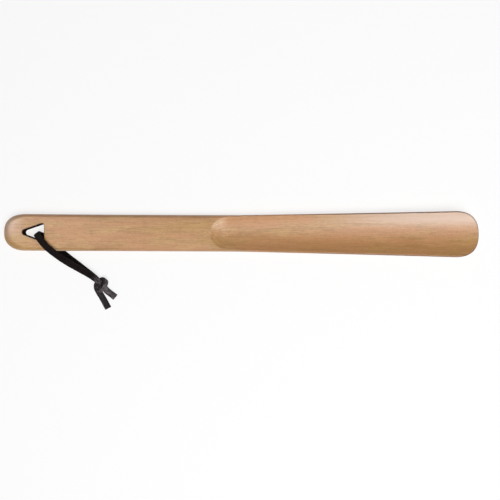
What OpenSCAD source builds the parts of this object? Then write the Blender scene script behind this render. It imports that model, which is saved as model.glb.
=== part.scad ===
// Long shoehorn: one wooden piece with a scooped horn, and a knotted leather lace through its handle.
// +X runs from the handle's end to the horn's tip, +Z is the scooped side, and the back rests on z = 0.

/* [Overall] */
// Length from the handle's end to the horn's tip
total_length = 368.3; // [340:0.1:400]
// Width across the horn near its tip
horn_width = 35.6; // [32:0.1:40]
// Width of the handle
handle_width = 28.5; // [26:0.1:30]

/* [Thickness] */
// Thickness along the middle of the handle, before the back is planed flat
handle_thickness = 9.5; // [9:0.1:11]
// Thickness at the handle's end
handle_end_thickness = 7.2; // [7:0.1:8]
// Height of the section near the horn's tip, from the back to the rims
horn_section_height = 8.8; // [8:0.1:10]
// Wood left under the scoop where it starts
floor_at_start = 4.6; // [4:0.1:5]
// Wood left under the scoop at the horn's tip
floor_at_tip = 2.6; // [2.2:0.1:3.2]
// How much is planed off the back to make its flat
plane_depth = 0.3; // [0.2:0.05:0.4]

/* [Side view] */
// Rise of the back from the flat to the handle's end
handle_lift = 5.3; // [5.2:0.1:7]
// Rise of the back from the flat to the horn's tip
horn_lift = 5.6; // [4:0.1:8]

/* [Scoop] */
// Where the scoop's rounded start meets the handle's face, along X
scoop_start = -24.7; // [-30:0.1:-20]
// How far the scoop's start is drawn out along X, against a true ball
start_stretch = 1.2; // [1:0.05:1.4]
// Width of each rim beside the scoop
rim_width = 0.85; // [0.6:0.05:1.2]

/* [Hanging hole] */
// Distance from the handle's end to the hole's nearest point
hole_inset = 15.0; // [14.8:0.1:15.4]
// Length of the triangular hole along X
hole_length = 16.4; // [16.2:0.1:17]
// Width of the hole across its base
hole_width = 13.6; // [13.2:0.1:14]
// Corner radius at the hole's narrow end
hole_apex_radius = 2.1; // [1.8:0.1:2.4]
// Corner radius at the two ends of its base
hole_base_radius = 1.6; // [1.2:0.1:2]

/* [Lace] */
// Width of the flat leather lace
lace_width = 5.0; // [4.6:0.1:5.2]
// Thickness of the lace
lace_thickness = 1.6; // [1.4:0.1:1.6]
// Size of the knot along the lace, across it and in height
knot_size = [9.8, 13.6, 8.2];

/* [Hidden] */

handle_end_x = -total_length / 2;
horn_tip_x = total_length / 2;

// Plan view: both ends are superellipses, and the horn flares from the handle's width
end_round_length = 17;
end_round_power = 2.4;
tip_round_length = 21;
tip_round_power = 2.3;
flare_start = -5;
flare_end = 167;
flare_power = 1.15;

// Side view: where the back leaves the flat towards each end
handle_lift_start = -92;
horn_lift_start = 5;
handle_lift_power = 1.5;

// Edge rounding, measured in from the outline
handle_edge = 2.6;
handle_end_edge = 8;
horn_edge = 1.3;
edge_change_start = -30;
edge_change_end = 30;

// Crown of the handle's face, and curvature of its nearly flat back
face_crown = 0.35;
back_curvature = 1 / 250;
belly_start = -40;
belly_end = 40;

// The scoop starts as part of a ball and goes on as a trough
start_depth = handle_thickness - floor_at_start;
start_reach = handle_width / 2 - rim_width;
ball_radius = (start_reach * start_reach + start_depth * start_depth) / (2 * start_depth);
ball_x = scoop_start + start_stretch * start_reach;

// Section points: this many intervals across each face
face_steps = 24;

// Along the length, stations bend to follow the scoop's rounded start between these places
bend_from = -62;
bend_to = 34;

function clamp01(t) = max(0, min(1, t));
function mix(a, b, t) = a + (b - a) * t;
function ease(t) = let (c = clamp01(t)) c * c * (3 - 2 * c);

// Plan view
function flare(x) = pow(clamp01((x - flare_start) / (flare_end - flare_start)), flare_power);
function plain_half_width(x) = mix(handle_width, horn_width, flare(x)) / 2;
function end_power(x) = x < 0 ? end_round_power : tip_round_power;
function end_length(x) = x < 0 ? end_round_length : tip_round_length;
function end_share(x) = clamp01((abs(x) - total_length / 2 + end_length(x)) / end_length(x));
function half_width(x) = let (n = end_power(x))
    plain_half_width(x) * pow(1 - pow(end_share(x), n), 1 / n);

// Side view along the centreline
function handle_share(x) = clamp01((handle_lift_start - x) / (handle_lift_start - handle_end_x));
function horn_share(x) = clamp01((x - horn_lift_start) / (horn_tip_x - horn_lift_start));
function back_line(x) = handle_lift * pow(handle_share(x), handle_lift_power)
    + horn_lift * pow(horn_share(x), 2) - plane_depth;
function section_height(x) = handle_thickness
    - (handle_thickness - handle_end_thickness) * handle_share(x)
    - (handle_thickness - horn_section_height) * horn_share(x);
function top_line(x) = back_line(x) + section_height(x);
function floor_thickness(x) = mix(floor_at_start, floor_at_tip,
                                  clamp01((x - ball_x) / (horn_tip_x - ball_x)));

// The scoop: a trough that reaches each rim, with a ball-shaped start
function scoop_depth(x) = section_height(x) - floor_thickness(x);
function scoop_reach(x) = plain_half_width(x) - rim_width;
function scoop_radius(x) = x < ball_x ? ball_radius
    : (pow(scoop_reach(x), 2) + pow(scoop_depth(x), 2)) / (2 * scoop_depth(x));
function ball_distance(x) = max(0, ball_x - x) / start_stretch;
function scoop_surface(x, y) = let (r = scoop_radius(x), d = ball_distance(x), q = r * r - y * y - d * d)
    q <= 0 ? 1000 : back_line(x) + floor_thickness(x) + r - sqrt(q);

// The two faces before their edges are rounded
function face_surface(x, y) = top_line(x) - face_crown * pow(y / plain_half_width(x), 2);
function belly_curvature(x) = mix(back_curvature, 1 / scoop_radius(x),
                                  ease((x - belly_start) / (belly_end - belly_start)));
function belly_sag(x, y) = let (k = belly_curvature(x)) (1 - sqrt(1 - pow(k * y, 2))) / k;
function low_surface(x, y) = back_line(x) + belly_sag(x, y);
function high_surface(x, y) = min(face_surface(x, y), scoop_surface(x, y));

// Distance in from the outline, and the share of the half-thickness left there by the rounded edge
function outline_share(x, y) = let (n = end_power(x))
    pow(pow(end_share(x), n) + pow(abs(y) / plain_half_width(x), n), 1 / n);
function outline_slope(x, y) = let (n = end_power(x), q = max(outline_share(x, y), 0.001))
    norm([pow(end_share(x) / q, n - 1) / end_length(x),
          pow(abs(y) / plain_half_width(x) / q, n - 1) / plain_half_width(x)]);
function inset(x, y) = max(0, 1 - outline_share(x, y)) / outline_slope(x, y);
function edge_size(x) = mix(mix(handle_edge, handle_end_edge, end_share(min(x, -1))), horn_edge,
                            ease((x - edge_change_start) / (edge_change_end - edge_change_start)));
function edge_share(x, y) = sqrt(1 - pow(1 - clamp01(inset(x, y) / edge_size(x)), 2));
function skin_height(x, y, side) = let (high = high_surface(x, y), low = low_surface(x, y))
    (high + low) / 2 + side * edge_share(x, y) * (high - low) / 2;

// Stations along the length, closer together at both ends and at the scoop's start
station_list = concat(
    [for (i = [1 : 10]) handle_end_x + end_round_length * (1 - cos(9 * i))],
    [for (x = [-158 : 8 : -70]) x],
    [for (x = [-62 : 4 : -34]) x],
    [for (i = [0 : 25]) scoop_start - 6 + 1.5 * i],
    [for (x = [16 : 6 : 34]) x],
    [for (x = [43 : 9 : 151]) x],
    [for (i = [10 : -1 : 1]) horn_tip_x - tip_round_length * (1 - cos(9 * i))]);

function bend_share(x) = ease((x - bend_from) / (scoop_start - bend_from))
    * ease((bend_to - x) / (bend_to - scoop_start));
function start_arc(y) = start_stretch * start_reach * (1 - sqrt(1 - pow(min(1, abs(y) / start_reach), 2)));
function station_x(x, s) = x + bend_share(x) * start_arc(s * handle_width / 2);

// One closed ring of points: across the scooped face and back across the back
function ring_point(x, s, side) = let (px = station_x(x, s), py = s * half_width(px))
    [px, py, skin_height(px, py, side)];
function ring(x) = concat(
    [for (i = [0 : face_steps]) ring_point(x, cos(180 * i / face_steps), 1)],
    [for (i = [face_steps - 1 : -1 : 1]) ring_point(x, cos(180 * i / face_steps), -1)]);

// Joins rings of equal size into a closed skin, with a point at each end
module skin(rings, first_tip, last_tip) {
    n = len(rings[0]);
    m = len(rings);
    points = concat([for (r = rings) each r], [first_tip, last_tip]);
    side_faces = [for (i = [0 : m - 2], j = [0 : n - 1])
        let (a = i * n + j, b = i * n + (j + 1) % n)
        each [[a, b, b + n], [a, b + n, a + n]]];
    first_faces = [for (j = [0 : n - 1]) [m * n, (j + 1) % n, j]];
    last_faces = [for (j = [0 : n - 1]) [m * n + 1, (m - 1) * n + j, (m - 1) * n + (j + 1) % n]];
    polyhedron(points, concat(side_faces, first_faces, last_faces), convexity = 6);
}

module blank() {
    skin([for (x = station_list) ring(x)],
         [handle_end_x, 0, skin_height(handle_end_x, 0, 0)],
         [horn_tip_x, 0, skin_height(horn_tip_x, 0, 0)]);
}

// Triangular hole with round corners, its narrow end towards the handle's end
apex_center = [handle_end_x + hole_inset + hole_apex_radius, 0];
base_center = [handle_end_x + hole_inset + hole_length - hole_base_radius,
               hole_width / 2 - hole_base_radius];
side_vector = base_center - apex_center;
side_angle = atan2(side_vector[1], side_vector[0])
    - asin((hole_apex_radius - hole_base_radius) / norm(side_vector));
side_normal = [-sin(side_angle), cos(side_angle)];
apex_tangent = apex_center + hole_apex_radius * side_normal;
base_tangent = base_center + hole_base_radius * side_normal;

function mirrored(p) = [p[0], -p[1]];

module hole_outline() {
    base_edge = base_center + [hole_base_radius, 0];
    polygon([apex_center, apex_tangent, base_tangent, base_center, base_edge,
             mirrored(base_edge), mirrored(base_center), mirrored(base_tangent), mirrored(apex_tangent)]);
    translate(apex_center) circle(r = hole_apex_radius, $fn = 48);
    for (c = [base_center, mirrored(base_center)])
        translate(c) circle(r = hole_base_radius, $fn = 48);
}

cut_margin = 20;

module shoehorn_body() {
    color("burlywood")
    difference() {
        blank();
        translate([-total_length, -horn_width, -cut_margin])
            cube([2 * total_length, 2 * horn_width, cut_margin]);
        translate([0, 0, -cut_margin])
            linear_extrude(height = 3 * cut_margin) hole_outline();
    }
}

// Lace routes: x, y, z of the centreline and the way the lace heads, in degrees from +X
pivot = [-157.2, -1.6];
join_height = 7;
front_route = [
    [pivot[0], pivot[1], join_height, -52], [-157.6, -1.1, 9.4, -52], [-157.8, -0.9, 11.3, -52],
    [-157.5, -1.3, 12.7, -52], [-156.6, -2.4, 13.3, -52], [-153.6, -6.6, 13.3, -52],
    [-149.3, -11.6, 13.3, -46], [-142.8, -16.7, 13.2, -38], [-136.8, -21.2, 12.2, -35],
    [-129.2, -26.2, 9.6, -33], [-121.7, -30.8, 7.1, -33], [-116.2, -34.4, 5.5, -34],
    [-112.6, -36.9, 4.7, -35]];
back_route = [
    [pivot[0], pivot[1], join_height, -52], [-156.8, -2, 4.9, -50], [-156.5, -2.4, 3, -48],
    [-156.1, -2.9, 1.5, -47], [-155.1, -3.9, 0.85, -46], [-150.2, -8.2, 0.85, -44],
    [-143.7, -14, 0.85, -41], [-139.6, -17.3, 0.85, -38], [-130.5, -24.2, 0.85, -37],
    [-122.2, -30.5, 1.1, -37], [-116.2, -35, 2, -37], [-113, -37.4, 2.6, -37]];
upper_tail_route = [[-108.8, -43.2, 3.2, -39], [-106, -45.6, 2.5, -39.5],
                    [-103, -48.1, 1.4, -39.5], [-99.8, -50.7, 0.85, -39.5]];
lower_tail_route = [[-113.4, -44.2, 2.7, -61], [-111.6, -47.6, 2.1, -61.5],
                    [-109.4, -51.8, 1.2, -61.5], [-107.3, -55.8, 0.85, -61.5],
                    [-105.4, -59.4, 0.85, -61.5]];
knot_center = [-109.7, -40, 4.1];
knot_heading = -37;
steps_per_leg = 3;

// A smooth curve through the route's points
function route_at(r, i) = r[max(0, min(len(r) - 1, i))];
function smooth_point(r, i, t) = let (a = route_at(r, i - 1), b = route_at(r, i),
                                      c = route_at(r, i + 1), d = route_at(r, i + 2))
    (2 * b + (c - a) * t + (2 * a - 5 * b + 4 * c - d) * t * t
     + (3 * b - 3 * c + d - a) * t * t * t) / 2;
function smooth_route(r) = concat(
    [for (i = [0 : len(r) - 2], k = [0 : steps_per_leg - 1]) smooth_point(r, i, k / steps_per_leg)],
    [r[len(r) - 1]]);

// The lace's section: a flat bar with its corners taken off
lace_corner = 0.4;
half_lace = [lace_width / 2, lace_thickness / 2];
lace_section = [
    [half_lace[0], half_lace[1] - lace_corner], [half_lace[0] - lace_corner, half_lace[1]],
    [lace_corner - half_lace[0], half_lace[1]], [-half_lace[0], half_lace[1] - lace_corner],
    [-half_lace[0], lace_corner - half_lace[1]], [lace_corner - half_lace[0], -half_lace[1]],
    [half_lace[0] - lace_corner, -half_lace[1]], [half_lace[0], lace_corner - half_lace[1]]];

function place(p) = [p[0], p[1], p[2]];
function unit(v) = v / norm(v);
function run_direction(path, i) = unit(place(route_at(path, i + 1)) - place(route_at(path, i - 1)));
function lace_ring(path, i) = let (
    across = [-sin(path[i][3]), cos(path[i][3]), 0],
    proud = unit(cross(run_direction(path, i), across)))
    [for (q = lace_section) place(path[i]) + q[0] * across + q[1] * proud];

module lace(route) {
    path = smooth_route(route);
    last = len(path) - 1;
    skin([for (i = [last : -1 : 0]) lace_ring(path, i)], place(path[last]), place(path[0]));
}

module strap_front_strand() {
    color([0.12, 0.08, 0.07]) lace(front_route);
}

module strap_back_strand() {
    color([0.14, 0.1, 0.09]) lace(back_route);
}

module strap_knot() {
    color([0.3, 0.28, 0.28])
    translate(knot_center) rotate([0, 0, knot_heading])
        resize(knot_size) sphere(d = knot_size[1], $fn = 28);
}

module strap_tail_upper() {
    color([0.2, 0.17, 0.16]) lace(upper_tail_route);
}

module strap_tail_lower() {
    color([0.17, 0.14, 0.13]) lace(lower_tail_route);
}

shoehorn_body();
strap_front_strand();
strap_back_strand();
strap_knot();
strap_tail_upper();
strap_tail_lower();
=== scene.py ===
import math

import bmesh
import bpy
import numpy as np
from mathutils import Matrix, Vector


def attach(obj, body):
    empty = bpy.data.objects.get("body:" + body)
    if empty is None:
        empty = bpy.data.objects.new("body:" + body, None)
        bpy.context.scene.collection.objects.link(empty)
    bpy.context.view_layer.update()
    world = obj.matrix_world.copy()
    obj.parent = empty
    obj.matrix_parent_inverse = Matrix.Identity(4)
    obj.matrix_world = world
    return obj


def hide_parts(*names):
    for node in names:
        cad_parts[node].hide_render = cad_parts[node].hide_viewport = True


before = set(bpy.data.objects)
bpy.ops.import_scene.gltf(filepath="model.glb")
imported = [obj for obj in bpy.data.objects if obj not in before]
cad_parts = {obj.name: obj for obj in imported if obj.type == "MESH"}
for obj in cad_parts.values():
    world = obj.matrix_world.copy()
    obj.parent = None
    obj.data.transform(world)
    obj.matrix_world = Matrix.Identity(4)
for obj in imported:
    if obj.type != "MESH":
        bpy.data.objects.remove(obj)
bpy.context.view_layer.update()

MM = 0.001


def clamp01(t):
    return np.clip(t, 0.0, 1.0)


def mix(a, b, t):
    return a + (b - a) * t


def ease(t):
    c = clamp01(t)
    return c * c * (3 - 2 * c)


def unit(v):
    return v / np.linalg.norm(v, axis=-1, keepdims=True)


def along_curve(points):
    """Distance from the first point to each point of a polyline."""
    legs = np.linalg.norm(np.diff(points[:, :3], axis=0), axis=1)
    return np.concatenate([[0.0], np.cumsum(legs)])


def sampled(values, places, wanted):
    """Every column of values, known at places, at the wanted places."""
    return np.stack([np.interp(wanted, places, column) for column in values.T], axis=1)


# ---------------------------------------------------------------- camera

CAMERA_PLACE = (0.0063, -0.0129, 0.42)
CAMERA_ROLL = math.radians(0.27)
FOCAL_PIXELS = 531
PICTURE_PIXELS = 500
SENSOR = 36


def make_camera():
    """The camera that took the photo, with colours shown as they are."""
    camera = bpy.data.objects.new("camera", bpy.data.cameras.new("camera"))
    bpy.context.scene.collection.objects.link(camera)
    camera.location = CAMERA_PLACE
    camera.rotation_euler = (0, 0, CAMERA_ROLL)
    camera.data.sensor_width = SENSOR
    camera.data.lens = SENSOR * FOCAL_PIXELS / PICTURE_PIXELS
    bpy.context.scene.camera = camera
    bpy.context.scene.view_settings.view_transform = "Standard"


# ---------------------------------------------------------------- node materials


def add_node(tree, kind, values=None, links=None, **settings):
    node = tree.nodes.new("ShaderNode" + kind)
    for key, value in settings.items():
        setattr(node, key, value)
    for socket, value in (values or {}).items():
        node.inputs[socket].default_value = value
    for socket, source in (links or {}).items():
        tree.links.new(source, node.inputs[socket])
    return node


def new_material(name):
    material = bpy.data.materials.new(name)
    material.use_nodes = True
    tree = material.node_tree
    return material, tree, tree.nodes["Principled BSDF"]


def object_millimetres(tree):
    """Object coordinates in millimetres, so that a scale of 1 is one feature per millimetre."""
    place = add_node(tree, "TexCoord").outputs["Object"]
    scale = (1 / MM, 1 / MM, 1 / MM)
    return add_node(tree, "Mapping", {"Scale": scale}, {"Vector": place}).outputs["Vector"]


def noise(tree, place, scale, detail=2.0, roughness=0.5):
    """Noise from about 0.3 to 0.7, with a scale for each axis in features per millimetre."""
    stretched = add_node(tree, "Mapping", {"Scale": scale}, {"Vector": place}).outputs["Vector"]
    values = {"Scale": 1.0, "Detail": detail, "Roughness": roughness}
    return add_node(tree, "TexNoise", values, {"Vector": stretched}).outputs[0]


def remap(tree, value, low, high, to_low=0.0, to_high=1.0):
    """A smooth step from to_low to to_high while the value goes from low to high."""
    values = {"From Min": low, "From Max": high, "To Min": to_low, "To Max": to_high}
    node = add_node(tree, "MapRange", values, {"Value": value}, interpolation_type="SMOOTHSTEP")
    return node.outputs["Result"]


def math_node(tree, operation, a, b):
    node = add_node(tree, "Math", operation=operation)
    for socket, value in ((0, a), (1, b)):
        if isinstance(value, (int, float)):
            node.inputs[socket].default_value = value
        else:
            tree.links.new(value, node.inputs[socket])
    return node.outputs[0]


def product(tree, a, b):
    return math_node(tree, "MULTIPLY", a, b)


def total(tree, a, b):
    return math_node(tree, "ADD", a, b)


def blend_colours(tree, amount, first, second):
    node = add_node(tree, "MixRGB", links={"Fac": amount})
    for socket, colour in (("Color1", first), ("Color2", second)):
        if isinstance(colour, tuple):
            node.inputs[socket].default_value = (*colour, 1)
        else:
            tree.links.new(colour, node.inputs[socket])
    return node.outputs["Color"]


def tinted(tree, colour, layers):
    """A colour with more colours blended over it in turn, from (amount, colour) pairs."""
    for amount, tint in layers:
        colour = blend_colours(tree, amount, colour, tint)
    return colour


def attribute(tree, name):
    return add_node(tree, "Attribute", attribute_name=name).outputs["Fac"]


def bump(tree, height, strength, depth, below=None):
    """Bumps of a depth in millimetres, over the bumps below them if there are any."""
    links = {"Height": height}
    if below is not None:
        links["Normal"] = below
    values = {"Strength": strength, "Distance": depth * MM}
    return add_node(tree, "Bump", values, links).outputs["Normal"]


# ---------------------------------------------------------------- mesh helpers


def grid_faces(ids):
    """Quads between neighbouring rows and columns of ids."""
    corners = [ids[:-1, :-1], ids[1:, :-1], ids[1:, 1:], ids[:-1, 1:]]
    return np.stack(corners, axis=-1).reshape(-1, 4)


def band_faces(loop, next_loop):
    """Quads between two closed loops with as many points each."""
    return np.stack([loop, np.roll(loop, -1), np.roll(next_loop, -1), next_loop], axis=-1)


def make_object(name, points, quads, triangles, attributes, materials):
    """A smooth closed mesh from points in millimetres. Points that no face uses are left out."""
    used = np.unique(np.concatenate([quads.ravel(), triangles.ravel()]))
    place = np.full(len(points), -1)
    place[used] = np.arange(len(used))
    faces = place[quads].tolist() + place[triangles].tolist()
    mesh = bpy.data.meshes.new(name)
    mesh.from_pydata((points[used] * MM).tolist(), [], faces)
    work = bmesh.new()
    work.from_mesh(mesh)
    bmesh.ops.recalc_face_normals(work, faces=work.faces)
    work.to_mesh(mesh)
    work.free()
    mesh.shade_smooth()
    for key, values in attributes.items():
        layer = mesh.attributes.new(key, "FLOAT", "POINT")
        layer.data.foreach_set("value", np.asarray(values, np.float32)[used])
    for material in materials:
        mesh.materials.append(material)
    piece = bpy.data.objects.new(name, mesh)
    bpy.context.scene.collection.objects.link(piece)
    return piece


# ---------------------------------------------------------------- lace

LACE_WIDTH = 5.0
LACE_THICKNESS = 1.6

# Routes as in the CAD source, before and after the knot: x, y, z of the lace's middle line, and the
# way it heads in degrees
PIVOT = (-157.2, -1.6)
JOIN_HEIGHT = 7
FRONT_ROUTE = np.array([
    [*PIVOT, JOIN_HEIGHT, -52], [-157.6, -1.1, 9.4, -52], [-157.8, -0.9, 11.3, -52],
    [-157.5, -1.3, 12.7, -52], [-156.6, -2.4, 13.3, -52], [-153.6, -6.6, 13.3, -52],
    [-149.3, -11.6, 13.3, -46], [-142.8, -16.7, 13.2, -38], [-136.8, -21.2, 12.2, -35],
    [-129.2, -26.2, 9.6, -33], [-121.7, -30.8, 7.1, -33], [-116.2, -34.4, 5.5, -34]])
BACK_ROUTE = np.array([
    [*PIVOT, JOIN_HEIGHT, -52], [-156.8, -2, 4.9, -50], [-156.5, -2.4, 3, -48],
    [-156.1, -2.9, 1.5, -47], [-155.1, -3.9, 0.85, -46], [-150.2, -8.2, 0.85, -44],
    [-143.7, -14, 0.85, -41], [-139.6, -17.3, 0.85, -38], [-130.5, -24.2, 0.85, -37],
    [-122.2, -30.5, 1.1, -37], [-116.2, -35, 2, -37]])
UPPER_TAIL_ROUTE = np.array([
    [-106, -45.6, 2.5, -39.5], [-103, -48.1, 1.4, -39.5], [-99.8, -50.7, 0.85, -39.5]])
LOWER_TAIL_ROUTE = np.array([
    [-113.4, -44.2, 2.7, -61], [-111.6, -47.6, 2.1, -61.5], [-109.4, -51.8, 1.2, -61.5],
    [-107.3, -55.8, 0.85, -61.5], [-105.4, -59.4, 0.85, -61.5]])
KNOT_CENTER = np.array([-109.7, -40, 4.1])
KNOT_HEADING = math.radians(-37)


def smooth_route(route, steps=8):
    """A smooth curve through the route's points, with the heading smoothed alongside."""
    padded = np.concatenate([route[:1], route, route[-1:]])
    t = (np.arange(steps) / steps)[:, None]
    legs = []
    for a, b, c, d in zip(padded, padded[1:], padded[2:], padded[3:]):
        curve = 2 * b + (c - a) * t + (2 * a - 5 * b + 4 * c - d) * t**2
        legs.append((curve + (3 * b - 3 * c + d - a) * t**3) / 2)
    return np.concatenate([*legs, route[-1:]])


def flat_normals(points, headings):
    """The way the lace's upper side faces where it lies flat and heads the given way."""
    direction = unit(np.gradient(points, axis=0))
    angle = np.radians(headings)
    across = np.stack([-np.sin(angle), np.cos(angle), np.zeros(len(angle))], axis=1)
    return unit(np.cross(direction, across))


# The overhand knot, tied as a rope as thick as both laces and pulled tight
ROPE_THICKNESS = 3.4
ROPE_LEG = 0.9
ROPE_POINTS = 120
NEIGHBOUR_REACH = 1.7 * ROPE_THICKNESS
LOOSE_TURN = 2.15
LOOSE_POINTS = 400
LOOSE_SIZE = (0.75, 2.4, 2.2)
LOOSE_END = 30
PULL_STEPS = 1300
SETTLING_ROUNDS = 6
PULL = 0.05
HOLD = 0.9
BENDING = 0.06
PUSH = 0.25
TAIL_SLOPE = np.array([-0.2, -0.15])


def loose_overhand():
    """An overhand knot with straight ends along X, before it is pulled tight."""
    t = np.linspace(-LOOSE_TURN, LOOSE_TURN, LOOSE_POINTS)
    shape = np.stack([t**5 - 10 * t, t**4 - 4 * t**2, t**3 - 3 * t], axis=1)
    loops = shape * np.array(LOOSE_SIZE)
    reach = np.array([LOOSE_END, 0, 0])
    rope = np.concatenate([[loops[0] - reach], loops, [loops[-1] + reach]])
    places = along_curve(rope)
    rope = sampled(rope, places, np.linspace(0, places[-1], ROPE_POINTS))
    return rope * ROPE_LEG * (ROPE_POINTS - 1) / places[-1]


def keep_legs(rope):
    """Moves neighbouring points back to one leg apart, even and odd legs in turn."""
    for start in (0, 1):
        first = rope[start:-1:2]
        second = rope[start + 1::2]
        step = second - first
        change = 0.5 * step * (1 - ROPE_LEG / np.linalg.norm(step, axis=1, keepdims=True))
        first += change
        second -= change


def push_apart(rope, first, second):
    """Moves points of different turns apart until the rope no longer lies in itself."""
    step = rope[second] - rope[first]
    gap = np.linalg.norm(step, axis=1)
    close = gap < ROPE_THICKNESS
    change = PUSH * step[close] / gap[close, None] * (ROPE_THICKNESS - gap[close, None])
    np.add.at(rope, second[close], change)
    np.add.at(rope, first[close], -change)


def tight_overhand():
    """The knot after both ends are pulled, the first along X and the last a little aslant."""
    rope = loose_overhand()
    first, second = np.triu_indices(ROPE_POINTS, k=math.ceil(NEIGHBOUR_REACH / ROPE_LEG))
    for _ in range(PULL_STEPS):
        rope[0, 0] -= PULL
        rope[-1, 0] += PULL
        rope[0, 1:] *= HOLD
        rope[-1, 1:] = mix(TAIL_SLOPE * rope[-1, 0], rope[-1, 1:], HOLD)
        for _ in range(SETTLING_ROUNDS):
            keep_legs(rope)
            rope[1:-1] += BENDING * (rope[:-2] + rope[2:] - 2 * rope[1:-1])
            push_apart(rope, first, second)
    return rope


# How the tight knot is squashed and moved along the lace, across it and in height, and how far along
# the lace it counts as knot
KNOT_SQUASH = np.array([0.76, 1.32, 0.68])
KNOT_SHIFT = np.array([0.0, 1.2, 0.3])
KNOT_REACH = 4.0


def knot_centreline():
    """The middle of the doubled lace through the knot, in place."""
    rope = tight_overhand() * KNOT_SQUASH + KNOT_SHIFT
    inside = np.abs(rope[:, 0]) < KNOT_REACH
    rope = rope[np.argmax(inside):len(inside) - np.argmax(inside[::-1])]
    c, s = math.cos(KNOT_HEADING), math.sin(KNOT_HEADING)
    turn = np.array([[c, s, 0], [-s, c, 0], [0, 0, 1]])
    return rope @ turn + KNOT_CENTER


NORMAL_ROUNDS = 400
CURVE_PULL = 0.25


def bending_normals(points, first, last):
    """Normals for a flat lace that bends only the easy way, from a first normal to a last one."""
    direction = unit(np.gradient(points, axis=0))
    curving = np.gradient(direction, axis=0)
    normals = np.tile(np.asarray(first, float), (len(points), 1))
    for i in range(1, len(points)):
        carried = normals[i - 1] - direction[i] * (normals[i - 1] @ direction[i])
        normals[i] = carried / np.linalg.norm(carried)
    normals[-1] = last
    for _ in range(NORMAL_ROUNDS):
        side = np.sign(np.sum(curving * normals, axis=1, keepdims=True))
        wanted = 0.5 * (normals[:-2] + normals[2:]) + CURVE_PULL * (curving * side)[1:-1]
        wanted -= direction[1:-1] * np.sum(wanted * direction[1:-1], axis=1, keepdims=True)
        normals[1:-1] = unit(wanted)
    return normals


LACE_STEP = 0.45
LACE_GAP = 0.82
SMOOTHING_ROUNDS = 10
SMOOTHING = 0.25


def lace_run(route, knot, knot_normals, side, tail):
    """One lace from the hole through the knot to its end: its points, normals and share of knot."""
    lead = smooth_route(route)
    end = smooth_route(tail)
    inner = knot + side * LACE_GAP * knot_normals
    points = np.concatenate([lead[:, :3], inner, end[:, :3]])
    normals = np.concatenate([flat_normals(lead[:, :3], lead[:, 3]), knot_normals,
                              flat_normals(end[:, :3], end[:, 3])])
    knotted = np.concatenate([np.zeros(len(lead)), np.ones(len(inner)), np.zeros(len(end))])
    places = along_curve(points)
    wanted = np.linspace(0, places[-1], round(places[-1] / LACE_STEP))
    run = sampled(np.column_stack([points, normals, knotted]), places, wanted)
    for _ in range(SMOOTHING_ROUNDS):
        run[1:-1] += SMOOTHING * (run[:-2] + run[2:] - 2 * run[1:-1])
    direction = unit(np.gradient(run[:, :3], axis=0))
    normals = run[:, 3:6]
    normals = unit(normals - direction * np.sum(normals * direction, axis=1, keepdims=True))
    return run[:, :3], normals, run[:, 6]


SECTION_POINTS = 24
KNOT_WIDTH = 4.4
KNOT_THICKNESS = 1.7
# How square the section's corners are, outside the knot and in it
FLAT_POWER = 5.0
ROUND_POWER = 2.6
CUT_BEVEL = 0.15
LACE_LOWEST = 0.02
# The width varies by this share, in a wave that takes this angle from one section to the next
WIDTH_WAVE = 0.012
WAVE_STEP = 0.23


def lace_sections(points, normals, knotted):
    """A flat section with rounded corners at each point, narrower and rounder inside the knot."""
    across = np.cross(normals, unit(np.gradient(points, axis=0)))
    angle = 2 * np.pi * (np.arange(SECTION_POINTS) + 0.5) / SECTION_POINTS
    squeeze = ease(knotted)[:, None]
    power = 2 / mix(FLAT_POWER, ROUND_POWER, squeeze)
    wave = 1 + WIDTH_WAVE * np.sin(np.arange(len(points)) * WAVE_STEP)[:, None]
    half_width = wave * mix(LACE_WIDTH, KNOT_WIDTH, squeeze) / 2
    half_depth = mix(LACE_THICKNESS, KNOT_THICKNESS, squeeze) / 2
    u = half_width * np.sign(np.cos(angle)) * np.abs(np.cos(angle)) ** power
    v = half_depth * np.sign(np.sin(angle)) * np.abs(np.sin(angle)) ** power
    rings = points[:, None] + u[..., None] * across[:, None] + v[..., None] * normals[:, None]
    rings[..., 2] = np.maximum(rings[..., 2], LACE_LOWEST)
    return rings, u


def lace_piece(name, run, tail_wear_and_sheen, leather, core):
    """The mesh of one run, with a bevelled cut end, and the pale strip of wear and painted sheen in the
    knot and, by the tail's share, past it.
    """
    points, normals, knotted = run
    # Share of the pale strip at each point: partly wear, partly painted sheen
    wear_and_sheen = np.maximum(knotted, tail_wear_and_sheen * np.maximum.accumulate(knotted))
    rings, offset = lace_sections(points, normals, knotted)
    middle = points[-1]
    ahead = CUT_BEVEL * unit(middle - points[-2])
    bevel = middle + (rings[-1] - middle) * (1 - 2 * CUT_BEVEL / LACE_THICKNESS)
    rings = np.concatenate([rings, [bevel + ahead]])
    offset = np.concatenate([offset, offset[-1:]])
    count = len(rings) * SECTION_POINTS
    ids = np.arange(count).reshape(len(rings), SECTION_POINTS)
    around = np.concatenate([ids, ids[:, :1]], axis=1)
    caps = []
    for hub, ring in ((count, ids[0]), (count + 1, ids[-1])):
        caps.append(np.stack([np.full(SECTION_POINTS, hub), ring, np.roll(ring, -1)], axis=1))
    vertices = np.concatenate([rings.reshape(-1, 3), [points[0], middle + ahead]])
    run_length = np.repeat(np.arange(len(rings)) * LACE_STEP, SECTION_POINTS)
    attributes = {"along": [*run_length, 0, run_length[-1]], "across": [*offset.ravel(), 0, 0],
                  "wear_and_sheen": [*np.repeat([*wear_and_sheen, wear_and_sheen[-1]], SECTION_POINTS), wear_and_sheen[0], wear_and_sheen[-1]]}
    piece = make_object(name, vertices, grid_faces(around), np.concatenate(caps), attributes,
                        [leather, core])
    # The caps are the only triangles
    for face in piece.data.polygons:
        if len(face.vertices) == 3:
            face.material_index = 1
    return piece


def build_lace(name, run, tail_wear_and_sheen, nodes, leather, core):
    piece = lace_piece(name, run, tail_wear_and_sheen, leather, core)
    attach(piece, "strap")
    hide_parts(*nodes)


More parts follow.
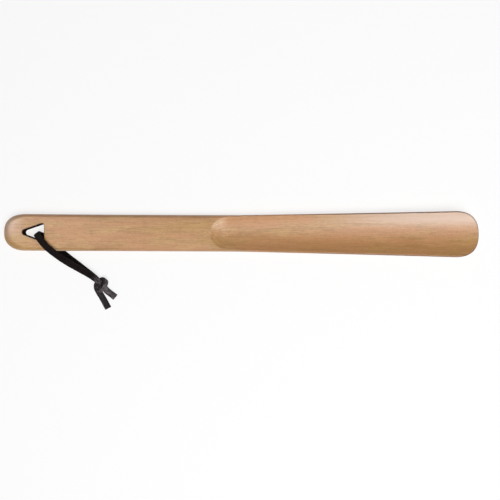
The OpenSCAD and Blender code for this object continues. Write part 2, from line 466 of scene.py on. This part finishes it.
LEATHER_DARK = (0.003, 0.0015, 0.0014)
LEATHER_LIGHT = (0.012, 0.0065, 0.0055)
CORE_DARK = (0.02, 0.016, 0.015)
CORE_LIGHT = (0.06, 0.05, 0.045)
# Pale grey of the strip along the knot and tails, partly wear and partly painted sheen
WORN_AND_SHEEN_LEATHER = (0.15, 0.128, 0.136)
# Features per millimetre, and how deep their bumps are
PEBBLE_SCALE = 2.6
PEBBLE_DEPTH = 0.12
CLOUD_SCALE = (0.5, 0.5, 0.5)
FINE_SCALE = (5, 5, 5)
FINE_DEPTH = 0.06
FIBRE_SCALE = (0.3, 2.2, 1)
FIBRE_DEPTH = 0.12
# Distances from the middle of the lace between which the pale strip of wear and painted sheen fades
RUBBED_AND_SHEEN_FROM = 2.4
RUBBED_AND_SHEEN_TO = 1.5
LEATHER_ROUGHNESS = (0.52, 0.7)


def leather_material(name, dark, light):
    """Pebbled leather, with pale fibres along the middle from wear and painted sheen."""
    material, tree, shader = new_material(name)
    place = object_millimetres(tree)
    grain = add_node(tree, "TexVoronoi", {"Scale": PEBBLE_SCALE}, {"Vector": place}).outputs["Distance"]
    cloud = noise(tree, place, CLOUD_SCALE, detail=4)
    fine = noise(tree, place, FINE_SCALE, detail=3)
    offset = attribute(tree, "across")
    lane = add_node(tree, "CombineXYZ", links={"X": attribute(tree, "along"), "Y": offset})
    fibre = noise(tree, lane.outputs[0], FIBRE_SCALE, detail=4, roughness=0.6)

    tone = total(tree, remap(tree, cloud, 0.35, 0.7, 0, 0.6), remap(tree, fine, 0.4, 0.7, 0, 0.4))
    from_middle = math_node(tree, "ABSOLUTE", offset, 0.0)
    strip = remap(tree, from_middle, RUBBED_AND_SHEEN_FROM, RUBBED_AND_SHEEN_TO)
    streaks = product(tree, remap(tree, fibre, 0.38, 0.6), strip)
    # Wear and painted sheen: pale fibres along the middle in the knot and the tails
    rubbed_and_sheen = product(tree, attribute(tree, "wear_and_sheen"), streaks)
    colour = blend_colours(tree, rubbed_and_sheen, blend_colours(tree, tone, dark, light), WORN_AND_SHEEN_LEATHER)
    tree.links.new(colour, shader.inputs["Base Color"])
    tree.links.new(remap(tree, cloud, 0.3, 0.7, *LEATHER_ROUGHNESS), shader.inputs["Roughness"])
    pebbles = bump(tree, grain, 0.35, PEBBLE_DEPTH)
    fibres = bump(tree, fibre, 0.3, FIBRE_DEPTH, pebbles)
    tree.links.new(bump(tree, fine, 0.3, FINE_DEPTH, fibres), shader.inputs["Normal"])
    shader.inputs["Specular IOR Level"].default_value = 0.12
    return material


# The share of the knot's path after which the lower lace leaves it, and how strongly each tail has the
# pale strip of wear and painted sheen
LOWER_LACE_LEAVES = 0.72
UPPER_TAIL_WEAR_AND_SHEEN = 1.0
LOWER_TAIL_WEAR_AND_SHEEN = 0.3


def build_laces():
    knot = knot_centreline()
    up = (0, 0, 1)
    normals = bending_normals(knot, up, up)
    leather = leather_material("lace_leather", LEATHER_DARK, LEATHER_LIGHT)
    core = leather_material("lace_cut", CORE_DARK, CORE_LIGHT)
    leaving = int(len(knot) * LOWER_LACE_LEAVES)
    upper = lace_run(FRONT_ROUTE, knot, normals, 1, UPPER_TAIL_ROUTE)
    lower = lace_run(BACK_ROUTE, knot[:leaving], normals[:leaving], -1, LOWER_TAIL_ROUTE)
    upper_nodes = ["strap_front_strand", "strap_knot", "strap_tail_upper"]
    lower_nodes = ["strap_back_strand", "strap_tail_lower"]
    build_lace("lace_upper_run", upper, UPPER_TAIL_WEAR_AND_SHEEN, upper_nodes, leather, core)
    build_lace("lace_lower_run", lower, LOWER_TAIL_WEAR_AND_SHEEN, lower_nodes, leather, core)


# ---------------------------------------------------------------- wooden body: the CAD model's shape

TOTAL_LENGTH = 368.3
HORN_WIDTH = 35.6
HANDLE_WIDTH = 28.5
HANDLE_THICKNESS = 9.5
HANDLE_END_THICKNESS = 7.2
HORN_SECTION_HEIGHT = 8.8
FLOOR_AT_START = 4.6
FLOOR_AT_TIP = 2.6
PLANE_DEPTH = 0.3
HANDLE_LIFT = 5.3
HORN_LIFT = 5.6
SCOOP_START = -24.7
START_STRETCH = 1.2
RIM_WIDTH = 0.85
HANDLE_END_X = -TOTAL_LENGTH / 2
HORN_TIP_X = TOTAL_LENGTH / 2

END_ROUND_LENGTH = 17
END_ROUND_POWER = 2.4
TIP_ROUND_LENGTH = 21
TIP_ROUND_POWER = 2.3
FLARE_START = -5
FLARE_END = 167
FLARE_POWER = 1.15
HANDLE_LIFT_START = -92
HORN_LIFT_START = 5
HANDLE_LIFT_POWER = 1.5
HANDLE_EDGE = 2.6
HANDLE_END_EDGE = 8
HORN_EDGE = 1.3
EDGE_CHANGE = (-30, 30)
FACE_CROWN = 0.35
BACK_CURVATURE = 1 / 250
BELLY_CHANGE = (-40, 40)

START_DEPTH = HANDLE_THICKNESS - FLOOR_AT_START
START_REACH = HANDLE_WIDTH / 2 - RIM_WIDTH
BALL_RADIUS = (START_REACH**2 + START_DEPTH**2) / (2 * START_DEPTH)
BALL_X = SCOOP_START + START_STRETCH * START_REACH
RIDGE_SOFTNESS = 0.3
ABOVE_EVERYTHING = 1000


def plain_half_width(x):
    flare = clamp01((x - FLARE_START) / (FLARE_END - FLARE_START)) ** FLARE_POWER
    return mix(HANDLE_WIDTH, HORN_WIDTH, flare) / 2


def handle_share(x):
    return clamp01((HANDLE_LIFT_START - x) / (HANDLE_LIFT_START - HANDLE_END_X))


def horn_share(x):
    return clamp01((x - HORN_LIFT_START) / (HORN_TIP_X - HORN_LIFT_START))


def back_line(x):
    lift = HANDLE_LIFT * handle_share(x) ** HANDLE_LIFT_POWER + HORN_LIFT * horn_share(x) ** 2
    return lift - PLANE_DEPTH


def section_height(x):
    thinner_handle = (HANDLE_THICKNESS - HANDLE_END_THICKNESS) * handle_share(x)
    return HANDLE_THICKNESS - thinner_handle - (HANDLE_THICKNESS - HORN_SECTION_HEIGHT) * horn_share(x)


def floor_thickness(x):
    return mix(FLOOR_AT_START, FLOOR_AT_TIP, clamp01((x - BALL_X) / (HORN_TIP_X - BALL_X)))


def scoop_radius(x):
    reach = plain_half_width(x) - RIM_WIDTH
    depth = section_height(x) - floor_thickness(x)
    return np.where(x < BALL_X, BALL_RADIUS, (reach**2 + depth**2) / (2 * depth))


def scoop_surface(x, y):
    radius = scoop_radius(x)
    behind = np.maximum(0, BALL_X - x) / START_STRETCH
    inside = radius**2 - y**2 - behind**2
    height = back_line(x) + floor_thickness(x) + radius - np.sqrt(np.maximum(inside, 0))
    return np.where(inside > 0, height, ABOVE_EVERYTHING)


def high_surface(x, y):
    """The scooped face before its outer edge is rounded, with a soft ridge where the scoop starts."""
    face = back_line(x) + section_height(x) - FACE_CROWN * (y / plain_half_width(x)) ** 2
    scoop = scoop_surface(x, y)
    near = np.maximum(RIDGE_SOFTNESS - np.abs(face - scoop), 0)
    return np.minimum(face, scoop) - near**2 / (4 * RIDGE_SOFTNESS)


def low_surface(x, y):
    change = ease((x - BELLY_CHANGE[0]) / (BELLY_CHANGE[1] - BELLY_CHANGE[0]))
    curvature = mix(BACK_CURVATURE, 1 / scoop_radius(x), change)
    return back_line(x) + (1 - np.sqrt(1 - (curvature * y) ** 2)) / curvature


def skin_height(x, y, share, side):
    """Height of the scooped face (side 1) or the back (side -1), at this share of the half-thickness."""
    high, low = high_surface(x, y), low_surface(x, y)
    height = (high + low) / 2 + side * share * (high - low) / 2
    return np.maximum(height, 0)


def end_share(x):
    rounding = np.where(x < 0, END_ROUND_LENGTH, TIP_ROUND_LENGTH)
    return clamp01((np.abs(x) - TOTAL_LENGTH / 2 + rounding) / rounding)


def edge_size(x):
    handle = mix(HANDLE_EDGE, HANDLE_END_EDGE, end_share(np.minimum(x, -1)))
    change = ease((x - EDGE_CHANGE[0]) / (EDGE_CHANGE[1] - EDGE_CHANGE[0]))
    return mix(handle, HORN_EDGE, change)


# ---------------------------------------------------------------- wooden body: its mesh

HALF_COLUMNS = 20
EDGE_RINGS = 9
RIDGE_EDGE_Y = 12.05
# Rows along the middle line: where each stretch ends, and how many rows it has
ROW_STRETCHES = ((-172.9, 7), (-149.4, 26), (-62, 30), (-34, 16))
RIDGE_STEPS_BEFORE = 14
RIDGE_CROWDING_BEFORE = 1.9
RIDGE_STEPS_AFTER = 22
RIDGE_CROWDING_AFTER = 1.6
RIDGE_REACH_AFTER = 6 - BALL_X
ROW_STRETCHES_AFTER = ((34, 24), (160, 54))
TIP_ROWS = 21
END_SPREAD = 30
BEND_FROM = -62
BEND_TO = 34
ARC_POINTS = 500
SIDE_POINTS = 1500
OUTLINE_POINTS = 6000
ROUNDING_ERROR = 1e-9


def half_outline():
    """One side of the outline from the handle's end to the tip, as x, y, inward normal and edge size."""
    turn = np.linspace(0, np.pi / 2, ARC_POINTS)
    ends = []
    for power, length, end, way in ((END_ROUND_POWER, END_ROUND_LENGTH, HANDLE_END_X, 1),
                                    (TIP_ROUND_POWER, TIP_ROUND_LENGTH, HORN_TIP_X, -1)):
        x = end + way * length * (1 - np.cos(turn) ** (2 / power))
        y = plain_half_width(x) * np.sin(turn) ** (2 / power)
        ends.append(np.stack([x, y], axis=1)[::way])
    x = np.linspace(ends[0][-1, 0], ends[1][0, 0], SIDE_POINTS)[1:-1]
    outline = np.concatenate([ends[0], np.stack([x, plain_half_width(x)], axis=1), ends[1]])
    places = along_curve(outline)
    corners = (places[ARC_POINTS // 2], places[-1 - ARC_POINTS // 2])
    even = np.linspace(0, places[-1], OUTLINE_POINTS)
    outline = sampled(outline, places, even)
    direction = unit(np.gradient(outline, axis=0))
    inward = np.stack([direction[:, 1], -direction[:, 0]], axis=1)
    inward[0], inward[-1] = (1, 0), (-1, 0)
    border = np.column_stack([outline, inward, edge_size(outline[:, 0])])
    return border, even, corners


def inner_points(border):
    """Where the rounded edge ends and the face starts, for each point of a border."""
    return border[:, :2] + border[:, 2:4] * border[:, 4:5]


def mirrored(border):
    """A border on the other side of the middle line."""
    return border * np.array([1, -1, 1, -1, 1])


def both_sides(half):
    """A border from its middle point outwards, as a full row from -Y to +Y."""
    return np.concatenate([mirrored(half[:0:-1]), half])


def ridge_x(y):
    """Where the scoop's rounded start meets the handle's face."""
    crown = FACE_CROWN * (y / (HANDLE_WIDTH / 2)) ** 2
    behind = BALL_RADIUS**2 - y**2 - (BALL_RADIUS - START_DEPTH + crown) ** 2
    return BALL_X - START_STRETCH * np.sqrt(np.maximum(behind, 0))


def row_places(first, last):
    """Places of the rows on the middle line, closer together at the hole, the ridge and the ends."""
    places = [first]
    for end, count in ROW_STRETCHES:
        places.extend(np.linspace(places[-1], end, count + 1)[1:])
    gap = SCOOP_START - places[-1]
    steps = np.linspace(1, 0, RIDGE_STEPS_BEFORE + 1)[1:]
    places.extend(SCOOP_START - gap * steps ** RIDGE_CROWDING_BEFORE)
    steps = np.linspace(0, 1, RIDGE_STEPS_AFTER + 1)[1:]
    places.extend(SCOOP_START + RIDGE_REACH_AFTER * steps ** RIDGE_CROWDING_AFTER)
    for end, count in ROW_STRETCHES_AFTER:
        places.extend(np.linspace(places[-1], end, count + 1)[1:])
    places.extend(mix(places[-1], last, np.sin(np.linspace(0, np.pi / 2, TIP_ROWS + 1)[1:])))
    return np.array(places)


def row_nearness(middle):
    """How near each row is to the handle's end, to the tip and to the ridge, from 0 to 1."""
    first = 1 - ease((middle - middle[0]) / END_SPREAD)
    last = 1 - ease((middle[-1] - middle) / END_SPREAD)
    ridge = ease((middle - BEND_FROM) / (SCOOP_START - BEND_FROM))
    ridge = ridge * ease((BEND_TO - middle) / (BEND_TO - SCOOP_START))
    return first[:, None], last[:, None], ridge[:, None]


def row_bulges(near, first, last, share):
    """How far each point of each row lies ahead of the row's side point."""
    near_first, near_last, near_ridge = near
    bulges = near_first * (first[:, 0] - first[-1, 0]) + near_last * (last[:, 0] - last[-1, 0])
    return bulges + near_ridge * (ridge_x(share * RIDGE_EDGE_Y) - ridge_x(RIDGE_EDGE_Y))


def row_spread(near, first, last, share):
    """Where each point of each row lies between the middle line, 0, and the row's side point, 1."""
    near_first, near_last, _ = near
    return (share + near_first * (first[:, 1] / first[-1, 1] - share)
            + near_last * (last[:, 1] / last[-1, 1] - share))


def side_border(border, inner, travelled, start, stop, x):
    """The border between two corners, at the places where its inner points have these values of x."""
    between = (travelled >= start - ROUNDING_ERROR) & (travelled <= stop + ROUNDING_ERROR)
    wanted = np.interp(x, inner[between, 0], travelled[between])
    wanted[0], wanted[-1] = start, stop
    return sampled(border, travelled, wanted)


def plan_grid():
    """x and y of every grid point, and the border points around the grid in loop order."""
    border, places, corners = half_outline()
    inner = inner_points(border)
    travelled = along_curve(inner)
    start, stop = np.interp(corners, places, travelled)
    first_row = sampled(border, travelled, np.linspace(0, start, HALF_COLUMNS + 1))
    last_row = sampled(border, travelled, np.linspace(travelled[-1], stop, HALF_COLUMNS + 1))
    first, last = inner_points(first_row), inner_points(last_row)
    share = np.arange(HALF_COLUMNS + 1) / HALF_COLUMNS
    middle = row_places(first[0, 0], last[0, 0])
    near = row_nearness(middle)
    bulges = row_bulges(near, first, last, share)
    side_rows = side_border(border, inner, travelled, start, stop, middle - bulges[:, 0])
    side = inner_points(side_rows)
    x = side[:, :1] + bulges
    y = side[:, 1:] * row_spread(near, first, last, share)
    x = np.concatenate([x[:, :0:-1], x], axis=1)
    y = np.concatenate([-y[:, :0:-1], y], axis=1)
    loop = np.concatenate([both_sides(first_row), side_rows[1:], both_sides(last_row)[::-1][1:],
                           mirrored(side_rows)[-2:0:-1]])
    return x, y, loop


def loop_ids(ids):
    """The outer points of a grid of ids, in the order that plan_grid gives its border."""
    return np.concatenate([ids[0], ids[1:, -1], ids[-1, -2::-1], ids[-2:0:-1, 0]])


# The triangular hole, which lies in the second stretch of rows and as many columns to each side
HOLE_INSET = 15.0
HOLE_LENGTH = 16.4
HOLE_WIDTH = 13.6
HOLE_APEX_RADIUS = 2.1
HOLE_BASE_RADIUS = 1.6
HOLE_EDGE = 0.4
HOLE_EDGE_STEPS = 4
HOLE_PATCH_STEPS = 6
HOLE_WALL_STEPS = 6
HOLE_ROWS = (ROW_STRETCHES[0][1], ROW_STRETCHES[0][1] + ROW_STRETCHES[1][1])
HOLE_COLUMNS = 17
HOLE_OUTLINE_POINTS = 1441
EDGE_SCORCH = 0.25


def hole_outline():
    """The rounded triangle, from its narrow end round to the same place."""
    apex = (HANDLE_END_X + HOLE_INSET + HOLE_APEX_RADIUS, 0, HOLE_APEX_RADIUS)
    base_x = HANDLE_END_X + HOLE_INSET + HOLE_LENGTH - HOLE_BASE_RADIUS
    base_y = HOLE_WIDTH / 2 - HOLE_BASE_RADIUS
    circles = np.array([apex, (base_x, base_y, HOLE_BASE_RADIUS), (base_x, -base_y, HOLE_BASE_RADIUS)])
    angle = np.linspace(np.pi, -np.pi, HOLE_OUTLINE_POINTS)
    facing = np.stack([np.cos(angle), np.sin(angle)], axis=1)
    reach = facing @ circles[:, :2].T + circles[:, 2]
    chosen = circles[np.argmax(reach, axis=1)]
    return chosen[:, :2] + chosen[:, 2:] * facing


def hole_loop(fractions, near=0.3):
    """Points at these fractions of the hole's outline, and the way out of the hole at each."""
    outline = hole_outline()
    places = along_curve(outline)
    at = fractions * places[-1]
    points = sampled(outline, places, at)
    ahead = sampled(outline, places, (at + near) % places[-1])
    behind = sampled(outline, places, (at - near) % places[-1])
    direction = unit(ahead - behind)
    return points, np.stack([-direction[:, 1], direction[:, 0]], axis=1)


class Skin:
    """Collects the body's points and faces, and how scorched and how near the edge each point is."""

    def __init__(self):
        self.points = []
        self.scorch = []
        self.edge = []
        self.quads = []
        self.count = 0

    def add(self, points, scorch=0.0, edge=0.0):
        ids = np.arange(self.count, self.count + len(points))
        self.points.append(points)
        self.scorch.append(np.full(len(points), scorch))
        self.edge.append(np.full(len(points), edge))
        self.count += len(points)
        return ids

    def loop(self, xy, z, scorch=0.0, edge=0.0):
        return self.add(np.column_stack([xy, z]), scorch, edge)

    def join(self, loops):
        for loop, next_loop in zip(loops, loops[1:]):
            self.quads.append(band_faces(loop, next_loop))


def face_rings(skin, x, y, ids, side):
    """Fills the gap in one face around the hole, down to its rounded edge."""
    rows = slice(HOLE_ROWS[0], HOLE_ROWS[1] + 1)
    middle = x.shape[1] // 2
    columns = slice(middle - HOLE_COLUMNS, middle + HOLE_COLUMNS + 1)
    around = loop_ids(ids[rows, columns])
    xy = np.stack([loop_ids(x[rows, columns]), loop_ids(y[rows, columns])], axis=1)
    around, xy = np.roll(around, -HOLE_COLUMNS), np.roll(xy, -HOLE_COLUMNS, axis=0)
    closed = along_curve(np.concatenate([xy, xy[:1]]))
    wall, outward = hole_loop(closed[:-1] / closed[-1])
    edge = wall + HOLE_EDGE * outward
    loops = [around]
    for t in np.arange(1, HOLE_PATCH_STEPS + 1) / HOLE_PATCH_STEPS:
        ring = mix(xy, edge, t)
        scorch = EDGE_SCORCH if t == 1 else 0.0
        loops.append(skin.loop(ring, skin_height(ring[:, 0], ring[:, 1], 1, side), scorch))
    for angle in np.linspace(0, np.pi / 2, HOLE_EDGE_STEPS + 1)[1:]:
        ring = wall + HOLE_EDGE * (1 - math.sin(angle)) * outward
        face = skin_height(edge[:, 0], edge[:, 1], 1, side)
        drop = HOLE_EDGE * (1 - math.cos(angle))
        loops.append(skin.loop(ring, face - side * drop, mix(EDGE_SCORCH, 1, math.sin(angle))))
    skin.join(loops)
    return loops[-1]


def add_face(skin, x, y, side):
    """One face of the body, with a gap for the hole. Gives its outer loop and its loop in the hole."""
    ids = skin.add(np.stack([x, y, skin_height(x, y, 1, side)], axis=-1).reshape(-1, 3)).reshape(x.shape)
    keep = np.ones((x.shape[0] - 1, x.shape[1] - 1), bool)
    middle = x.shape[1] // 2
    keep[HOLE_ROWS[0]:HOLE_ROWS[1], middle - HOLE_COLUMNS:middle + HOLE_COLUMNS] = False
    skin.quads.append(grid_faces(ids)[keep.ravel()])
    return loop_ids(ids), face_rings(skin, x, y, ids, side)


def add_rim(skin, border, high, low):
    """The rounded outer edge, from the scooped face's outer loop to the back's."""
    loops = [high]
    for angle in np.linspace(np.pi / 2, -np.pi / 2, 2 * EDGE_RINGS + 1)[1:-1]:
        xy = border[:, :2] + border[:, 2:4] * border[:, 4:5] * (1 - math.cos(angle))
        side = 1 if angle > 0 else -1
        z = skin_height(xy[:, 0], xy[:, 1], abs(math.sin(angle)), side)
        loops.append(skin.loop(xy, z, edge=math.cos(angle)))
    skin.join([*loops, low])


def add_hole_wall(skin, high, low):
    """The scorched wall of the hole between its two loops. Gives how many faces it has."""
    points = np.concatenate(skin.points)
    loops = [high]
    for t in np.arange(1, HOLE_WALL_STEPS) / HOLE_WALL_STEPS:
        loops.append(skin.add(mix(points[high], points[low], t), 1.0))
    skin.join([*loops, low])
    return HOLE_WALL_STEPS * len(high)


def build_body():
    """Both faces on one grid, with the rim around them and the hole through them."""
    x, y, border = plan_grid()
    skin = Skin()
    high_outer, high_hole = add_face(skin, x, y, 1)
    low_outer, low_hole = add_face(skin, x, y, -1)
    add_rim(skin, border, high_outer, low_outer)
    wall_faces = add_hole_wall(skin, high_hole, low_hole)
    attributes = {"scorch": np.concatenate(skin.scorch), "edge": np.concatenate(skin.edge)}
    materials = [beech_material("beech", specular=1.0, coat=0.2),
                 beech_material("beech_scorched", specular=0.0, coat=0.0)]
    no_triangles = np.zeros((0, 3), int)
    piece = make_object("wooden_body", np.concatenate(skin.points), np.concatenate(skin.quads),
                        no_triangles, attributes, materials)
    # The wall's faces came last, and are matte
    for face in piece.data.polygons[-wall_faces:]:
        face.material_index = 1
    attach(piece, "shoehorn")
    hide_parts("shoehorn_body")


# Colours of clean wood and of the marks in it
BEECH_LIGHT = (0.665, 0.386, 0.165)
BEECH_DARK = (0.45, 0.223, 0.076)
BEECH_PINK = (0.64, 0.303, 0.138)
BEECH_YELLOW = (0.58, 0.346, 0.1)
RAY_FLECK = (0.31, 0.13, 0.05)
PORE = (0.40, 0.185, 0.075)
# Colours of painted sheen and painted shade on parts of the plank, of painted shade on the rim, and of
# charred wood
PAINTED_SHEEN_WOOD = (0.65, 0.465, 0.355)
PAINTED_SHADE_AMBER = (0.47, 0.225, 0.065)
PAINTED_SHADE_BAND = (0.33, 0.15, 0.055)
RIM_PAINTED_SHADE = (0.18, 0.088, 0.045)
CHARRED = (0.018, 0.009, 0.006)

# Growth rings about a line well below the face, a little askew, so that the scoop cuts across them
RING_AXIS = (0, 9, 38)
RING_TILT = (0, 0.035, 0.02)
RINGS_PER_MM = 0.42
RING_WAVER = 9.0
# How far the edge of the painted shade band on the handle wavers
SHADE_BAND_WAVER = 6.0

# Features per millimetre along X, Y and Z
WAVER_SCALE = (0.012, 0.05, 0.05)
DRIFT_SCALE = (0.02, 0.11, 0.11)
STREAK_SCALE = (0.05, 0.95, 0.95)
MOTTLE_SCALE = (0.22, 1.3, 1.3)
PORE_SCALE = (0.5, 8, 8)
RAY_SCALE = (0.42, 2.7, 2.7)
STREAK_DEPTH = 0.08
PORE_DEPTH = 0.05
COAT_ROUGHNESS = 0.36


def late_wood(tree, place, waver):
    """The darker late wood of each growth ring, rising slowly and ending sharply."""
    tilted = add_node(tree, "Mapping", {"Location": RING_AXIS, "Rotation": RING_TILT}, {"Vector": place})
    parts = add_node(tree, "SeparateXYZ", links={"Vector": tilted.outputs["Vector"]}).outputs
    across = add_node(tree, "CombineXYZ", links={"Y": parts["Y"], "Z": parts["Z"]}).outputs[0]
    radius = add_node(tree, "VectorMath", links={0: across}, operation="LENGTH").outputs["Value"]
    radius = total(tree, radius, product(tree, waver, RING_WAVER))
    ring = math_node(tree, "FRACT", product(tree, radius, RINGS_PER_MM), 0.0)
    return product(tree, remap(tree, ring, 0.2, 0.86), remap(tree, ring, 1.0, 0.88))


def grain_patterns(tree, place):
    """Noise drawn out along the grain, from slow drifts of colour to pores."""
    return {"waver": noise(tree, place, WAVER_SCALE, detail=3),
            "drift": noise(tree, place, DRIFT_SCALE),
            "streak": noise(tree, place, STREAK_SCALE, detail=4, roughness=0.6),
            "mottle": noise(tree, place, MOTTLE_SCALE),
            "pores": noise(tree, place, PORE_SCALE)}


def clean_beech(tree, place, grain):
    """Beech with rings, streaks, pink and yellow drifts, ray flecks and pores."""
    tone = product(tree, late_wood(tree, place, grain["waver"]), 0.3)
    tone = total(tree, tone, remap(tree, grain["streak"], 0.38, 0.62, 0, 0.5))
    tone = total(tree, tone, remap(tree, grain["mottle"], 0.4, 0.64, 0, 0.34))
    rays = add_node(tree, "Mapping", {"Scale": RAY_SCALE}, {"Vector": place}).outputs["Vector"]
    cells = add_node(tree, "TexVoronoi", {"Scale": 1.0, "Randomness": 1.0}, {"Vector": rays})
    return tinted(tree, blend_colours(tree, tone, BEECH_LIGHT, BEECH_DARK), (
        (remap(tree, grain["drift"], 0.47, 0.61, 0, 0.56), BEECH_PINK),
        (remap(tree, grain["drift"], 0.46, 0.34, 0, 0.36), BEECH_YELLOW),
        (remap(tree, cells.outputs["Distance"], 0.33, 0.17, 0, 0.62), RAY_FLECK),
        (remap(tree, grain["pores"], 0.54, 0.68, 0, 0.3), PORE)))


def painted_light_stretch(tree, y, across, most, x, along):
    """A stretch of painted light or shade that grows from 0 to most between two values of y, and sets in
    along x.
    """
    return product(tree, remap(tree, y, *across, 0, most), remap(tree, x, *along))


def painted_light_tints(tree, x, y, waver):
    """Painted sheen on paler stretches and painted shade on darker stretches of the plank, as (amount,
    colour) pairs.
    """
    # Painted sheen: paler wood on the scoop's upper wall towards the tip, and on the handle's end
    horn_painted_sheen = painted_light_stretch(tree, y, (3, 13), 0.78, x, (35, 135))
    end_painted_sheen = painted_light_stretch(tree, y, (-8, 6), 0.5, x, (-166, -180))
    # Painted shade: darker, warmer wood on the scoop's lower wall
    horn_painted_shade = painted_light_stretch(tree, y, (-2, -13), 0.4, x, (-30, 60))
    # Painted shade: a darker band along the handle's upper side, with a wavering edge
    wavy_y = total(tree, y, product(tree, waver, SHADE_BAND_WAVER))
    handle_painted_shade = painted_light_stretch(tree, wavy_y, (9, 17), 0.42, x, (-12, -34))
    return ((total(tree, horn_painted_sheen, end_painted_sheen), PAINTED_SHEEN_WOOD), (horn_painted_shade, PAINTED_SHADE_AMBER),
            (handle_painted_shade, PAINTED_SHADE_BAND))


def beech_roughness(tree, x, streak, rim, soot):
    """A satin oil finish, polished by hands at the handle's end and dull on the rim and in the hole."""
    polish = remap(tree, x, -162, -177, 0, 0.12)
    satin = math_node(tree, "SUBTRACT", remap(tree, streak, 0.3, 0.7, 0.4, 0.5), polish)
    satin = total(tree, satin, product(tree, soot, 0.45))
    return total(tree, satin, product(tree, rim, 0.4))


def beech_material(name, specular, coat):
    """Oiled beech, with painted shade on its rim and on parts of the plank, painted sheen on other
    parts, and soot where it is scorched.
    """
    material, tree, shader = new_material(name)
    place = object_millimetres(tree)
    axes = add_node(tree, "SeparateXYZ", links={"Vector": place}).outputs
    x, y = axes["X"], axes["Y"]
    grain = grain_patterns(tree, place)
    # Painted shade along the rounded outer edge, weak on the handle and strong along the horn
    rim = product(tree, remap(tree, attribute(tree, "edge"), 0.05, 0.6),
                  remap(tree, x, -10, 110, 0.2, 0.85))
    scorch = total(tree, attribute(tree, "scorch"), product(tree, grain["mottle"], 0.3))
    soot = remap(tree, scorch, 0.15, 0.75)
    colour = tinted(tree, clean_beech(tree, place, grain), painted_light_tints(tree, x, y, grain["waver"]))
    colour = tinted(tree, colour, ((rim, RIM_PAINTED_SHADE), (soot, CHARRED)))
    tree.links.new(colour, shader.inputs["Base Color"])
    roughness = beech_roughness(tree, x, grain["streak"], rim, soot)
    tree.links.new(roughness, shader.inputs["Roughness"])
    soft = bump(tree, grain["streak"], 0.12, STREAK_DEPTH)
    tree.links.new(bump(tree, grain["pores"], 0.22, PORE_DEPTH, soft), shader.inputs["Normal"])
    shader.inputs["IOR"].default_value = 1.5
    shader.inputs["Specular IOR Level"].default_value = specular
    shader.inputs["Coat Weight"].default_value = coat
    shader.inputs["Coat Roughness"].default_value = COAT_ROUGHNESS
    return material


# ---------------------------------------------------------------- floor and light

FLOOR_HEIGHT = -0.0002
FLOOR_HALF_SIZE = 4.0
FLOOR_GREY = 0.28
FLOOR_GLOW = 0.74


def build_floor():
    """A matte grey floor that also glows, so that it is near white and holds only faint shadows."""
    corners = []
    for x, y in ((-1, -1), (1, -1), (1, 1), (-1, 1)):
        corners.append((x * FLOOR_HALF_SIZE, y * FLOOR_HALF_SIZE, FLOOR_HEIGHT))
    mesh = bpy.data.meshes.new("floor")
    mesh.from_pydata(corners, [], [(0, 1, 2, 3)])
    floor = bpy.data.objects.new("floor", mesh)
    bpy.context.scene.collection.objects.link(floor)
    material, _, shader = new_material("floor")
    shader.inputs["Base Color"].default_value = (FLOOR_GREY, FLOOR_GREY, FLOOR_GREY, 1)
    shader.inputs["Emission Color"].default_value = (1, 1, 1, 1)
    shader.inputs["Emission Strength"].default_value = FLOOR_GLOW
    shader.inputs["Roughness"].default_value = 0.9
    shader.inputs["Specular IOR Level"].default_value = 0.1
    mesh.materials.append(material)


def area_light(name, place, target, size, power, diffuse=True, gloss=True):
    """A soft white rectangular light at a place, facing a target, in metres."""
    light = bpy.data.objects.new(name, bpy.data.lights.new(name, "AREA"))
    bpy.context.scene.collection.objects.link(light)
    light.location = place
    light.rotation_euler = (Vector(target) - Vector(place)).to_track_quat("-Z", "Y").to_euler()
    light.data.shape = "RECTANGLE"
    light.data.size, light.data.size_y = size
    light.data.energy = power
    light.visible_diffuse = diffuse
    light.visible_glossy = gloss


HORIZON_LIGHT = 0.5
OVERHEAD_LIGHT = 0.12
# The vertical part of the direction where the horizon ends and where the ceiling starts
HORIZON_END = 0.12
CEILING_START = 0.4


def build_world():
    """A white horizon and a dimmer ceiling, as in a room with pale walls."""
    world = bpy.data.worlds.new("studio")
    bpy.context.scene.world = world
    world.use_nodes = True
    tree = world.node_tree
    direction = add_node(tree, "TexCoord").outputs["Generated"]
    height = add_node(tree, "SeparateXYZ", links={"Vector": direction}).outputs["Z"]
    level = remap(tree, height, HORIZON_END, CEILING_START, HORIZON_LIGHT, OVERHEAD_LIGHT)
    tree.links.new(level, tree.nodes["Background"].inputs["Strength"])
    tree.nodes["Background"].inputs["Color"].default_value = (1, 1, 1, 1)


def build_lights():
    """One soft key light for the shading, and two that only shine in the finish."""
    area_light("key", place=(0.25, -0.36, 1.11), target=(0, 0, 0), size=(0.8, 0.6),
               power=11.9, gloss=False)
    area_light("horn_sheen", place=(0.64, -0.68, 0.6), target=(0.16, 0, 0), size=(0.8, 0.66),
               power=7.0, diffuse=False)
    area_light("end_sheen", place=(-0.447, 0.127, 0.52), target=(-0.175, 0, 0), size=(0.28, 0.4),
               power=1.4, diffuse=False)


make_camera()
build_laces()
build_body()
build_floor()
build_world()
build_lights()
